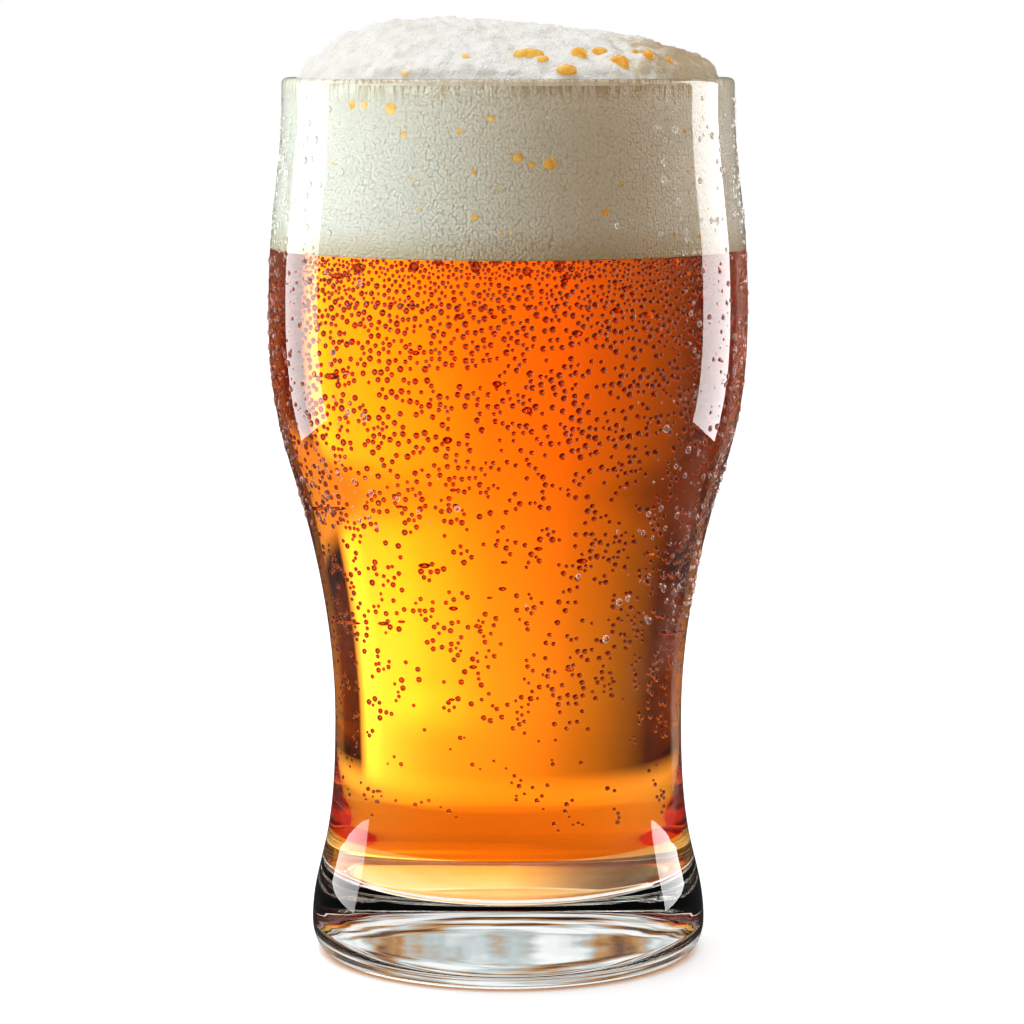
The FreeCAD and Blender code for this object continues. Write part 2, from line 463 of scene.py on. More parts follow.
def cream_foam(name):
    """Foam of small cushions with darker seams, tan near the beer and streaked under the lip."""
    material, tree, output = new_material(name)
    place = add_node(tree, "ShaderNodeTexCoord").outputs["Object"]
    parts = add_node(tree, "ShaderNodeSeparateXYZ", {"Vector": place})
    cells = add_node(tree, "ShaderNodeTexVoronoi", {
        "Vector": unrolled_wall(tree, parts).outputs["Vector"], "Scale": 1 / BUBBLE_PITCH,
        "Randomness": 0.85}, feature="F1", voronoi_dimensions="2D")
    cushion = add_node(tree, "ShaderNodeMath", {0: cells.outputs["Distance"], 1: cells.outputs["Distance"]},
                       operation="MULTIPLY")
    bump = add_node(tree, "ShaderNodeBump", {
        "Height": cushion.outputs["Value"], "Strength": 1.0, "Distance": BUBBLE_RELIEF * BUBBLE_PITCH},
        invert=True)
    skin = add_node(tree, "ShaderNodeValToRGB", {"Fac": cells.outputs["Distance"]},
                    [(0.35, linear(CREAM["pale"])), (0.85, linear(CREAM["seam"]))])
    near_beer = add_node(tree, "ShaderNodeMapRange", {
        "Value": parts.outputs["Z"], "From Min": beer_level, "From Max": beer_level + SEAM_TAN,
        "To Min": 0.85, "To Max": 0.0})
    tanned = add_node(tree, "ShaderNodeMix", {
        "Factor": near_beer.outputs["Result"], 6: skin.outputs["Color"], 7: linear(CREAM["tan"])},
        data_type="RGBA")
    streak = upright_streaks(tree, place, parts)
    colour = add_node(tree, "ShaderNodeMix", {
        "Factor": streak.outputs["Value"], 6: tanned.outputs[2], 7: linear(CREAM["streak"])},
        data_type="RGBA")
    shader = add_node(tree, "ShaderNodeBsdfPrincipled", {
        "Base Color": colour.outputs[2], "Roughness": 0.4, "IOR": BEER_IOR, "Normal": bump.outputs["Normal"],
    })
    tree.links.new(shader.outputs["BSDF"], output.inputs["Surface"])
    return material


foam.data.materials.clear()
foam.data.materials.append(cream_foam("cream_foam_at_the_wall"))
print("foam bubbles at the wall:", BUBBLE_PITCH / MM, "mm across")

# %% [markdown]
# ## Foam of the crown
# In the open air the bubbles burst and the foam tears, so it is rougher and whiter than at the wall, and
# its shine is broken by small hollows. To the right it turns beige in patches: partly because it is wet
# there, the films thick with beer, and partly as painted shade, since the light falls from the upper left.
# One cloud pattern roughens the surface and also gives the patches their edges.

# %% Finish of the crown
TORN_PITCH = 0.5 * MM
CLOUD_WIDTH = 3 * MM
# The beige to the right is partly wet foam and partly painted shade, for the light falls from the upper
# left.
BEIGE_FROM = 14 * MM      # the beige begins this far to the right of the axis
BEIGE_TO = 30 * MM        # and is complete here
TORN_TONES = [(0.15, linear("f6f5f0")), (0.45, linear("f1ede2")), (0.62, linear("d8c8ac")),
              (0.85, linear("bfa680"))]     # from dry and lit to wet and in painted shade


def torn_foam(name):
    """The free surface of the crown: white, and beige to the right, partly wet and partly painted shade."""
    material, tree, output = new_material(name)
    place = add_node(tree, "ShaderNodeTexCoord").outputs["Object"]
    parts = add_node(tree, "ShaderNodeSeparateXYZ", {"Vector": place})
    froth = add_node(tree, "ShaderNodeTexVoronoi", {"Vector": place, "Scale": 1 / TORN_PITCH}, feature="F1")
    clouds = add_node(tree, "ShaderNodeTexNoise", {"Vector": place, "Scale": 1 / CLOUD_WIDTH, "Detail": 6.0})
    heights = add_node(tree, "ShaderNodeMath", {0: clouds.outputs["Fac"], 1: froth.outputs["Distance"]},
                       operation="SUBTRACT")
    bump = add_node(tree, "ShaderNodeBump",
                    {"Height": heights.outputs["Value"], "Strength": 0.8, "Distance": 0.5 * TORN_PITCH})
    beige_to_the_right = add_node(tree, "ShaderNodeMapRange", {
        "Value": parts.outputs["X"], "From Min": BEIGE_FROM, "From Max": BEIGE_TO, "To Min": -0.25,
        "To Max": 0.35})
    patch = add_node(tree, "ShaderNodeMath", {0: beige_to_the_right.outputs["Result"], 1: clouds.outputs["Fac"]},
                     operation="ADD")
    colour = add_node(tree, "ShaderNodeValToRGB", {"Fac": patch.outputs["Value"]}, TORN_TONES)
    shader = add_node(tree, "ShaderNodeBsdfPrincipled", {
        "Base Color": colour.outputs["Color"], "Roughness": 0.45, "IOR": BEER_IOR,
        "Normal": bump.outputs["Normal"],
    })
    tree.links.new(shader.outputs["BSDF"], output.inputs["Surface"])
    return material


crown.data.materials.append(torn_foam("torn_foam_of_the_crown_with_painted_shade"))
print("crown turns beige from", BEIGE_FROM / MM, "mm right of the axis")

# %% [markdown]
# ## Scattered small things
# Bubbles, drops and the amber spots are hundreds of small round bodies of one kind. Each kind is one
# pattern, a ball of 80 faces, and a list of places. Geometry Nodes puts a copy of the pattern on each place,
# with the turn and the size that belong to it, and the copies are made real, so each kind is one mesh.

# %% Helpers for scattering
BELLY_FROM = -0.3       # a ball is drawn in below this share of its radius
BELLY_SHARE = 0.92      # to this share of its width

random.seed(7)


def ball(name, material):
    """A round pattern of radius one, drawn in a little below as a drop is, to be scattered and removed."""
    bpy.ops.object.select_all(action="DESELECT")
    bpy.ops.mesh.primitive_ico_sphere_add(subdivisions=2, radius=1)
    pattern = bpy.context.object
    pattern.name = name
    choose(pattern, lambda v: v.co.z < BELLY_FROM)
    bpy.ops.transform.resize(value=(BELLY_SHARE, BELLY_SHARE, 1.0), center_override=(0, 0, 0))
    done()
    pick(pattern)
    bpy.ops.object.shade_smooth()
    pattern.data.materials.append(material)
    return pattern


def scatter(name, pattern, spots):
    """One mesh of copies of the pattern, at spots, each a (place, turn, size) of three vectors."""
    mesh = bpy.data.meshes.new(name)
    mesh.from_pydata([place for place, _, _ in spots], [], [])
    for label, column in (("turn", 1), ("size", 2)):
        layer = mesh.attributes.new(label, "FLOAT_VECTOR", "POINT")
        layer.data.foreach_set("vector", [number for spot in spots for number in spot[column]])
    cloud = bpy.data.objects.new(name, mesh)
    bpy.context.scene.collection.objects.link(cloud)
    tree = bpy.data.node_groups.new(name + "_copies", "GeometryNodeTree")
    tree.interface.new_socket("Geometry", in_out="INPUT", socket_type="NodeSocketGeometry")
    tree.interface.new_socket("Geometry", in_out="OUTPUT", socket_type="NodeSocketGeometry")
    points = add_node(tree, "NodeGroupInput")
    turn = add_node(tree, "GeometryNodeInputNamedAttribute", {"Name": "turn"}, data_type="FLOAT_VECTOR")
    size = add_node(tree, "GeometryNodeInputNamedAttribute", {"Name": "size"}, data_type="FLOAT_VECTOR")
    one = add_node(tree, "GeometryNodeObjectInfo", {"Object": pattern})
    copies = add_node(tree, "GeometryNodeInstanceOnPoints", {
        "Points": points.outputs[0], "Instance": one.outputs["Geometry"],
        "Rotation": turn.outputs["Attribute"], "Scale": size.outputs["Attribute"]})
    real = add_node(tree, "GeometryNodeRealizeInstances", {"Geometry": copies.outputs["Instances"]})
    add_node(tree, "NodeGroupOutput", {"Geometry": real.outputs["Geometry"]})
    pick(cloud)
    modifier = cloud.modifiers.new("copies", "NODES")
    modifier.node_group = tree
    bpy.ops.object.modifier_apply(modifier=modifier.name)
    bpy.data.objects.remove(pattern)
    count(cloud)
    return cloud


# %% [markdown]
# ### Places on the wall
# A bubble or a drop has to touch the wall wherever it sits. The wall curves, so its outline is read back
# from the finished glass as pairs of height and radius, and the radius at any height in between comes from
# these pairs. Snapping each ball to the wall by hand would do the same, one ball at a time.

# %% Helpers for places on the wall
def flat_on(normal, across, thick):
    """The turn and the size of a round body that lies flat on a surface with this normal."""
    turn = Vector(normal).to_track_quat("Z", "Y").to_euler()
    return tuple(turn), (across / 2, across / 2, thick / 2)


def wall_profile(rule):
    """Heights and radii of the glass outline, for the faces that the rule picks, from the lowest up."""
    ring = {}
    for face in glass.data.polygons:
        if rule(face):
            for index in face.vertices:
                co = glass.data.vertices[index].co
                ring[round(co.z, 6)] = radius_of(co)
    heights = sorted(ring)
    return heights, [ring[z] for z in heights]


inner_z, inner_r = wall_profile(lambda f: looks_inside(f) and f.normal.z < FACES_UP)
outer_z, outer_r = wall_profile(lambda f: not looks_inside(f) and f.center.z > UNDERSIDE)
print("rings read from the wall:", len(inner_z), "inside,", len(outer_z), "outside")


def on_wall(azimuth, height, heights, radii, inward):
    """A place on a wall, moved inward by a length; azimuth is in degrees from the front, + to the right."""
    radius = float(np.interp(height, heights, radii)) - inward
    turn = math.radians(azimuth)
    return (radius * math.sin(turn), -radius * math.cos(turn), height)


def outward(azimuth):
    turn = math.radians(azimuth)
    return (math.sin(turn), -math.cos(turn), 0)


# %% [markdown]
# ## Bubbles in the beer
# Carbon dioxide comes out of the beer on the wall. A bubble is a closed ball of gas, which bends light the
# other way than glass does, so its index of refraction is that of air divided by that of beer. Its edge
# sends light away from the eye and shows as a dark ring. The gas is clear, yet the ball is tinted brown as
# painted shade, which makes the ring brown, and a dark specular tint paints its reflections near black, so
# they show no white glints.

# %% Finish of the bubbles
BUBBLE_IOR = 0.73       # air divided by beer, a little less, which thickens the dark ring


def gas_bubble():
    material, tree, output = new_material("carbon_dioxide_in_beer")
    place = add_node(tree, "ShaderNodeTexCoord").outputs["Object"]
    shade_noise = add_node(tree, "ShaderNodeTexNoise", {"Vector": place, "Scale": 1 / (4 * MM)})
    # Painted shade: clear gas gets a brown tint, and a near-black specular tint darkens its reflections.
    tint = add_node(tree, "ShaderNodeValToRGB", {"Fac": shade_noise.outputs["Fac"]},
                    [(0.35, linear("b06a3a")), (0.65, linear("cc8a56"))])
    shader = add_node(tree, "ShaderNodeBsdfPrincipled", {
        "Base Color": tint.outputs["Color"], "Roughness": 0.0, "IOR": BUBBLE_IOR,
        "Transmission Weight": 1.0, "Specular Tint": linear("2a0c04")})
    tree.links.new(shader.outputs["BSDF"], output.inputs["Surface"])
    return material


print("index of a bubble:", BUBBLE_IOR)

# %% [markdown]
# ### Where the bubbles sit
# They sit just inside the glass, about a millimetre across: packed in a band under the foam, very dense
# above the widest place, then thinner and in small clusters down to the foot. Each try takes a random place
# and size, often beside a bubble that is there already, and is dropped if it would touch another.

# %% Places of the bubbles
COLLAR_ZONES = [        # (depths under the foam, bubbles tried in a square cm, size range in mm)
    (0.3 * MM, 3.2 * MM, 2600, (0.55, 1.0)),
    (3.2 * MM, 8 * MM, 700, (0.65, 1.25)),
]
WALL_ZONES = [
    (8 * MM, 16 * MM, 150, (0.75, 1.35)),
    (16 * MM, 34 * MM, 66, (0.75, 1.35)),
    (34 * MM, 58 * MM, 38, (0.7, 1.3)),
    (58 * MM, 84 * MM, 32, (0.65, 1.2)),
    (84 * MM, 103 * MM, 12, (0.5, 1.0)),
]
SQUARE_CM = 1e-4        # in square metres
CLUSTERED = 0.7         # share of bubbles that settle beside another one
LATEST = 250            # which is one of so many that came last
BESIDE_TURN = 1.5       # how far beside it: spread in degrees round the glass
BESIDE_RISE = 0.9 * MM  # and up or down
FRONT_HALF = 85         # degrees to either side of the front
BACK_SHARE = 0.06       # share of bubbles kept beyond, where they hardly show through the beer
WALL_GAP = 0.04 * MM    # beer between a bubble and the wall


def share_at(azimuth):
    return 1 if abs(azimuth) < FRONT_HALF else BACK_SHARE


def free_spots(zones):
    """Places on the inner wall that don't touch each other, as (centre, azimuth, height, diameter)."""
    kept = []
    taken = np.empty((0, 4))
    for high, low, density, (small, large) in zones:
        top, bottom = beer_level - high, beer_level - low
        middle_r = float(np.interp((top + bottom) / 2, inner_z, inner_r))
        area_cm2 = 2 * math.pi * middle_r * (top - bottom) / SQUARE_CM
        for _ in range(int(area_cm2 * density)):
            if kept and random.random() < CLUSTERED:
                _, azimuth, height, _ = random.choice(kept[-LATEST:])
                azimuth += random.gauss(0, BESIDE_TURN)
                height += random.gauss(0, BESIDE_RISE)
                if not bottom < height < top:
                    continue
            else:
                azimuth = random.uniform(-180, 180)
                height = random.uniform(bottom, top)
            if random.random() > share_at(azimuth):
                continue
            across = random.uniform(small, large) * MM
            place = on_wall(azimuth, height, inner_z, inner_r, across / 2 + WALL_GAP)
            row = np.array([[*place, across / 2]])
            reach = taken[:, 3] + across / 2
            if np.any(np.linalg.norm(taken[:, :3] - row[:, :3], axis=1) < reach):
                continue
            taken = np.vstack([taken, row])
            kept.append((place, azimuth, height, across))
    return kept


# %% [markdown]
# ### Making them real
# The two bands differ in size and density, so each is a piece of its own. A bubble is as tall as it is
# wide, since nothing flattens it, and it needs no turn.

# %% Scatter the bubbles
bubble_groups = []
for name, zones in (("collar_bubbles", COLLAR_ZONES), ("wall_bubbles", WALL_ZONES)):
    spots = [(place, (0, 0, 0), (across / 2,) * 3) for place, _, _, across in free_spots(zones)]
    bubble_groups.append(scatter(name, ball("gas_ball", gas_bubble()), spots))
    print(name, len(spots))

# %% [markdown]
# ## Water drops on the glass
# The glass is cold, so water from the air settles on it in fine drops, 0.35 to 1.5 mm across. They lie on
# the outside, flat and half sunk here so that no film of air is left under them, and are thickest where
# nobody wiped: on the two sides. Water is clear, and a slow quiver in its skin keeps the drops from
# looking like glass beads.

# %% Water drops
DROP_COUNT = 1500
DROP_FLATNESS = 0.65
DROP_SINK = 0.1         # share of its width that a drop's centre lies below the glass
DROP_SIDE = (72, 17)    # azimuth round which the drops gather, and their spread, in degrees
DROP_LAST = 150         # no drop lies further round than this
DROP_HEIGHTS = {1: (62, 157), -1: (80, 157)}    # in mm, on the right and on the left
DROP_SMALLEST = 0.35    # in mm
DROP_RANGE = 1.15       # added for the largest
DROP_RARITY = 2.5       # the higher, the fewer large drops


def clear_water():
    material, tree, output = new_material("condensed_water")
    place = add_node(tree, "ShaderNodeTexCoord").outputs["Object"]
    quiver = add_node(tree, "ShaderNodeTexNoise", {"Vector": place, "Scale": 1 / (0.8 * MM)})
    bump = add_node(tree, "ShaderNodeBump",
                    {"Height": quiver.outputs["Fac"], "Strength": 0.6, "Distance": 0.05 * MM})
    shader = add_node(tree, "ShaderNodeBsdfPrincipled", {
        "Base Color": (1, 1, 1, 1), "Roughness": 0.0, "IOR": 1.33, "Transmission Weight": 1.0,
        "Normal": bump.outputs["Normal"]})
    tree.links.new(shader.outputs["BSDF"], output.inputs["Surface"])
    return material


drops = []
for number in range(DROP_COUNT):
    side = 1 if number % 2 else -1
    azimuth = side * min(DROP_LAST, abs(random.gauss(*DROP_SIDE)))
    height = random.uniform(*DROP_HEIGHTS[side]) * MM
    across = (DROP_SMALLEST + DROP_RANGE * random.random() ** DROP_RARITY) * MM
    place = on_wall(azimuth, height, outer_z, outer_r, DROP_SINK * across)
    drops.append((place, *flat_on(outward(azimuth), across, across * DROP_FLATNESS)))
drops = scatter("water_drops", ball("water_ball", clear_water()), drops)

# %% [markdown]
# ## Amber spots in the foam
# Here and there a large bubble in the foam has filled with beer again and shows amber through the wall, and
# on the crown lie a few glossy blisters of beer. Both have the finish of a thin film of beer over foam:
# glossy, yellow where it is thin and orange where it is deep, darker orange to the right as painted shade,
# and with a painted glow that stands in for the light coming through the beer.

# %% Finish of the amber spots
AMBER_TONES = [(0.2, linear("f4d794")), (0.45, linear("eebb58")), (0.75, linear("dd9a36"))]
AMBER_CLOUD = 1.2 * MM
AMBER_SHADE_TO_RIGHT = 8.0    # how fast the tone darkens to the right, as painted shade, in tones for each metre


def amber_film():
    material, tree, output = new_material("beer_in_a_foam_cell")
    place = add_node(tree, "ShaderNodeTexCoord").outputs["Object"]
    parts = add_node(tree, "ShaderNodeSeparateXYZ", {"Vector": place})
    depth = add_node(tree, "ShaderNodeTexNoise", {"Vector": place, "Scale": 1 / AMBER_CLOUD})
    tone_with_painted_shade = add_node(tree, "ShaderNodeMath", {
        0: parts.outputs["X"], 1: AMBER_SHADE_TO_RIGHT, 2: depth.outputs["Fac"]}, operation="MULTIPLY_ADD")
    colour = add_node(tree, "ShaderNodeValToRGB", {"Fac": tone_with_painted_shade.outputs["Value"]}, AMBER_TONES)
    # The emission is a painted glow, and the darker orange to the right is painted shade.
    shader = add_node(tree, "ShaderNodeBsdfPrincipled", {
        "Base Color": colour.outputs["Color"], "Roughness": 0.12, "IOR": BEER_IOR,
        "Emission Color": colour.outputs["Color"], "Emission Strength": 0.22})
    tree.links.new(shader.outputs["BSDF"], output.inputs["Surface"])
    return material


amber = amber_film()
print("amber tones:", len(AMBER_TONES))

# %% [markdown]
# ### Amber discs at the wall
# They are flat, 0.35 to 2.4 mm across. The large ones have places of their own and the small ones are
# scattered. Each is a flattened ball that reaches just into the wall, so the foam doesn't cover it.

# %% Amber discs
WALL_SPOTS = [          # (azimuth in degrees, height above the beer in mm, width in mm)
    (-42.6, 26.2, 1.6), (-38.6, 26.2, 1.5), (-30.5, 25.6, 2.3), (-26.6, 21.2, 1.2), (-12.1, 21.8, 1.1),
    (-4.1, 24.0, 1.2), (2.4, 17.3, 1.8), (10.4, 16.2, 2.4), (5.8, 16.1, 1.2), (-8.2, 14.9, 0.9),
    (-8.0, 7.2, 1.3), (24.2, 7.9, 1.4)]
SPOT_REACH = 0.12 * MM  # how far the middle of a disc lies in the wall
SPOT_THICK = 0.3 * MM
SMALL_SPOTS = 110
SMALL_HEIGHTS = (2, 26)  # above the beer, in mm
SMALL_WIDTH = 0.35      # in mm, and the range above it
SMALL_RANGE = 0.6
SMALL_THICK = 0.22 * MM

discs = []
for azimuth, height, across in WALL_SPOTS:
    place = on_wall(azimuth, beer_level + height * MM, inner_z, inner_r, -SPOT_REACH)
    discs.append((place, *flat_on(outward(azimuth), across * MM, SPOT_THICK)))
for _ in range(SMALL_SPOTS):
    azimuth = random.uniform(-180, 180)
    place = on_wall(azimuth, beer_level + random.uniform(*SMALL_HEIGHTS) * MM, inner_z, inner_r, -SPOT_REACH)
    across = (SMALL_WIDTH + SMALL_RANGE * random.random() ** 2) * MM
    discs.append((place, *flat_on(outward(azimuth), across, SMALL_THICK)))
discs = scatter("amber_cells", ball("amber_ball", amber), discs)

# %% [markdown]
# ### Blisters on the crown
# The crown's surface is random, so no height is known in advance. A ray is sent at it from the front, and
# the blister sits where the ray lands, sunk a little so that its edge meets the foam.

# %% Blisters
BLISTERS = [            # (across in mm, height above the lip in mm, width in mm, height of it in mm)
    (3.6, 4.3, 5.0, 1.7), (6.0, 3.4, 2.0, 1.2), (12.2, 4.1, 3.0, 2.4), (15.8, 4.5, 2.9, 1.9),
    (10.0, 1.5, 3.4, 1.8), (19.2, 2.5, 3.5, 2.8), (24.3, 3.9, 2.2, 2.0), (-7.2, 3.8, 1.4, 1.0),
    (-17.6, 1.0, 1.5, 0.8), (28.0, 3.0, 1.6, 1.4), (22.0, 4.6, 1.2, 1.0)]
IN_FRONT = 200 * MM     # from here the ray is sent
BLISTER_SINK = 0.15 * MM
BLISTER_DEPTH = 0.9 * MM
WIDER = 0.56            # half the width, and a little more for the part that is sunk
TALLER = 0.6            # half the height, likewise

blisters = []
for across, height, width, tall in BLISTERS:
    start = Vector((across * MM, -IN_FRONT, lip_level + height * MM))
    found, place, normal, _ = crown.ray_cast(start, Vector((0, 1, 0)))
    if found:
        blisters.append((tuple(place - BLISTER_SINK * normal), (0, 0, 0),
                         (WIDER * width * MM, BLISTER_DEPTH, TALLER * tall * MM)))
blisters = scatter("beer_blisters", ball("blister_ball", amber), blisters)

# %% [markdown]
# ## The studio
# Glass has no look of its own: it shows what stands round it. So the room is built like a table where
# drinks are shown. A pale floor and a pale room meet the eye. Through the beer the light comes from behind,
# strongest to the right, which the round glass turns over to the left. Dark flags beside it draw the dark
# edges, and two tall soft boxes stand a little behind the glass and leave the long white reflections.

# %% Camera
CAMERA_BACK = 675 * MM      # from the axis of the glass
CAMERA_HEIGHT = 165.9 * MM
CAMERA_ASIDE = 0.7 * MM
LOOK_DOWN = 7.17            # degrees
SENSOR_WIDTH = 36           # millimetres, as the focal length is
FOCAL_LENGTH = 130.7
NEAREST = 10 * MM           # nothing nearer to the camera than this is drawn

bpy.ops.object.select_all(action="DESELECT")
bpy.ops.object.camera_add(location=(CAMERA_ASIDE, -CAMERA_BACK, CAMERA_HEIGHT),
                          rotation=(math.radians(90 - LOOK_DOWN), 0, 0))
camera = bpy.context.object
camera.name = "camera"
camera.data.sensor_width = SENSOR_WIDTH
camera.data.lens = FOCAL_LENGTH
camera.data.clip_start = NEAREST
bpy.context.scene.camera = camera
print("camera:", CAMERA_BACK / MM, "mm in front of the axis, looking", LOOK_DOWN, "degrees down")

# %% [markdown]
# ### The floor
# White card, matte. It glows a little itself, as card under many lamps does, so it stays even to its far
# edge. Light that has passed through the beer fringes the foot with amber. Tracing that light would take
# far too many samples, so the fringe is a ring of colour. The glass looks past the floor into the room.

# %% Floor
FLOOR_WIDTH = 12            # metres
CARD_GRAIN = 2 * MM
AMBER_RIM = (33.5 * MM, 35.5 * MM)     # light that the beer has coloured fringes the foot up to here

bpy.ops.mesh.primitive_plane_add(size=FLOOR_WIDTH, location=(0, 0, 0))
floor = bpy.context.object
floor.name = "pale_floor"
material, tree, output = new_material("matte_white_card")
place = add_node(tree, "ShaderNodeTexCoord").outputs["Object"]
grain = add_node(tree, "ShaderNodeTexNoise", {"Vector": place, "Scale": 1 / CARD_GRAIN, "Detail": 2.0})
tone = add_node(tree, "ShaderNodeValToRGB", {"Fac": grain.outputs["Fac"]},
                [(0.3, linear("fbfbfa")), (0.7, linear("fdfdfc"))])
reach = add_node(tree, "ShaderNodeVectorMath", {0: place}, operation="LENGTH")
amber_rim = add_node(tree, "ShaderNodeMapRange", {
    "Value": reach.outputs["Value"], "From Min": AMBER_RIM[0], "From Max": AMBER_RIM[1], "To Min": 0.85,
    "To Max": 0.0})
tone = add_node(tree, "ShaderNodeMix", {
    "Factor": amber_rim.outputs["Result"], 6: tone.outputs["Color"], 7: linear("d98a2c")}, data_type="RGBA")
card = add_node(tree, "ShaderNodeBsdfPrincipled", {
    "Base Color": tone.outputs[2], "Roughness": 0.9, "Emission Color": tone.outputs[2],
    "Emission Strength": 0.45})
tree.links.new(card.outputs["BSDF"], output.inputs["Surface"])
floor.data.materials.append(material)
floor.visible_glossy = False
floor.visible_transmission = False
print("floor:", FLOOR_WIDTH, "m wide, amber up to", AMBER_RIM[1] / MM, "mm from the axis")

# %% [markdown]
# ### The room behind the glass
# It could be built of many panels, but they would shade one another, so it is drawn in the world's nodes. A
# ramp looks up how bright the room is at an angle. Azimuths and elevations are in degrees; azimuth 0 is
# straight behind the glass, positive to the right. Each list below is a row of (angle, light) marks.

# %% Light from behind
BACKLIGHT = [(-52, 0.3), (-46, 0.02), (-30, 0.03), (-25, 0.25), (-19, 0.5), (-10, 1.05), (0, 2.05),
             (12, 2.9), (24, 4.4), (28, 5.5), (31, 5.0), (35, 0.03), (46, 0.02), (52, 0.3)]
BACKLIGHT_TOP = 6.0
RAMP_HALF_WIDTH = 60.0
GLOW_AZIMUTHS = [(2, 0.0), (9, 0.4), (15, 0.45), (21, 0.15), (24, 0.0)]
GLOW_ELEVATIONS = [(-11, 0.0), (-9.5, 0.8), (-8.3, 1.0), (-7, 0.7), (-3, 0.9), (4, 0.85), (7, 0.0)]
BACKLIGHT_FADE = [(-12, 0.88), (-9, 1.0)]
HIGH_FROM = [(6, 0.0), (9, 1.0)]
HIGH_LIGHT = [(-30, 0.1), (-20, 0.2), (-12, 0.5), (-5, 1.2), (0, 1.9), (10, 1.8), (28, 1.7)]
RAMP_TOP = 3.0          # a ramp holds 0 to 1, so brighter lists are scaled down and up again
SIDES = (50, 95)        # beyond the flags the room brightens evenly between these azimuths
SIDE_LIGHT = (0.3, 1.5)


def by_angle(tree, value, stops, scale=1.0):
    """Looks up (angle, level) stops, spread over 60 degrees to either side, times scale."""
    limit = math.radians(RAMP_HALF_WIDTH)
    along = add_node(tree, "ShaderNodeMapRange", {"Value": value, "From Min": -limit, "From Max": limit})
    marks = [((a / RAMP_HALF_WIDTH + 1) / 2, (v / scale,) * 3 + (1,)) for a, v in stops]
    level = add_node(tree, "ShaderNodeValToRGB", {"Fac": along.outputs["Result"]}, marks)
    return add_node(tree, "ShaderNodeMath", {0: level.outputs["Color"], 1: scale},
                    operation="MULTIPLY").outputs["Value"]


def light_from_behind(tree, azimuth, elevation):
    """The lit sheet behind the glass with a glow in it, between two flags, and the plain room beside."""
    sheet = by_angle(tree, azimuth, BACKLIGHT, BACKLIGHT_TOP)
    glow = add_node(tree, "ShaderNodeMath", {0: by_angle(tree, azimuth, GLOW_AZIMUTHS),
                                             1: by_angle(tree, elevation, GLOW_ELEVATIONS)},
                    operation="MULTIPLY")
    sheet = add_node(tree, "ShaderNodeMath", {0: sheet, 1: glow.outputs["Value"], 2: sheet},
                     operation="MULTIPLY_ADD")
    sheet = add_node(tree, "ShaderNodeMath", {0: sheet.outputs["Value"],
                                              1: by_angle(tree, elevation, BACKLIGHT_FADE)},
                     operation="MULTIPLY")
    sheet = add_node(tree, "ShaderNodeMix", {"Factor": by_angle(tree, elevation, HIGH_FROM),
                                             "A": sheet.outputs["Value"],
                                             "B": by_angle(tree, azimuth, HIGH_LIGHT, RAMP_TOP)})
    turned = add_node(tree, "ShaderNodeMath", {0: azimuth}, operation="ABSOLUTE")
    beside = add_node(tree, "ShaderNodeMath", {0: turned.outputs["Value"], 1: math.radians(SIDES[0])},
                      operation="GREATER_THAN")
    plain = add_node(tree, "ShaderNodeMapRange", {
        "Value": turned.outputs["Value"], "From Min": math.radians(SIDES[0]),
        "From Max": math.radians(SIDES[1]), "To Min": SIDE_LIGHT[0], "To Max": SIDE_LIGHT[1]})
    return add_node(tree, "ShaderNodeMix", {"Factor": beside.outputs["Value"], "A": sheet.outputs["Result"],
                                            "B": plain.outputs["Result"]}).outputs["Result"]


print("brightest behind at", max(BACKLIGHT, key=lambda mark: mark[1])[0], "degrees")

# %% [markdown]
# ### The table round the glass
# Rays that point well down would meet the table round the glass, which is bright, and brightest close by.
# The lowest part of the beer shows it upside down as a pale yellow band. The floor itself is hidden from
# the glass, so that this light can be set by itself.

# %% Light from the table
TABLE_EDGE = (-17.8, -14.0)     # the table fades into the room between these elevations
TABLE_LIGHT = [(-30, 1.1), (-21, 1.15), (-18.5, 1.32), (-15, 2.2)]
TABLE_GAIN = [(-28, 0.0), (-14, 0.15), (0, 0.28), (8, 0.45), (16, 0.7), (28, 0.7)]
TABLE_GAIN_ZONE = [(-21, 0.0), (-19.5, 1.0)]


def with_table(tree, azimuth, elevation, room):
    """The room with the table below it, which is brighter to the right near its edge."""
    low = add_node(tree, "ShaderNodeMapRange", {
        "Value": elevation, "From Min": math.radians(TABLE_EDGE[0]), "From Max": math.radians(TABLE_EDGE[1]),
        "To Min": 1.0, "To Max": 0.0})
    gain = add_node(tree, "ShaderNodeMath", {0: by_angle(tree, azimuth, TABLE_GAIN),
                                             1: by_angle(tree, elevation, TABLE_GAIN_ZONE)},
                    operation="MULTIPLY")
    plain = by_angle(tree, elevation, TABLE_LIGHT, RAMP_TOP)
    board = add_node(tree, "ShaderNodeMath", {0: plain, 1: gain.outputs["Value"], 2: plain},
                     operation="MULTIPLY_ADD")
    return add_node(tree, "ShaderNodeMix", {"Factor": low.outputs["Result"], "A": room,
                                            "B": board.outputs["Value"]}).outputs["Result"]


print("table from", TABLE_EDGE[0], "degrees down")

# %% [markdown]
# ### Streaks in the foot
# The thick foot gathers the whole room into broken level streaks: white, grey, brown and gold. The real
# ones come from lamps, hands and bottles that nobody would model. So rays that have crossed no more than
# two surfaces, and so passed the foot and not the beer, see a noise drawn out along the horizon.

# %% Streaks
STREAK_TURNS = (1.5, 14.0, 1.0)    # ups and downs in a radian, along and across
STREAK_COLOURS = [(0.36, linear("1e1a1a")), (0.41, linear("6d3d1a")), (0.45, linear("c08a4a")),
                  (0.49, linear("b9c4c4")), (0.55, linear("ffffff")), (0.66, linear("ffffff")),
                  (0.74, linear("6f7a7c"))]
CLEAR_MIDDLE = -4               # round this elevation there are none
CLEAR_WIDTH = (5.5, 7.5)        # they begin this far from it, and are full here
FOOT_CROSSINGS = 2.5            # between two surfaces crossed and three


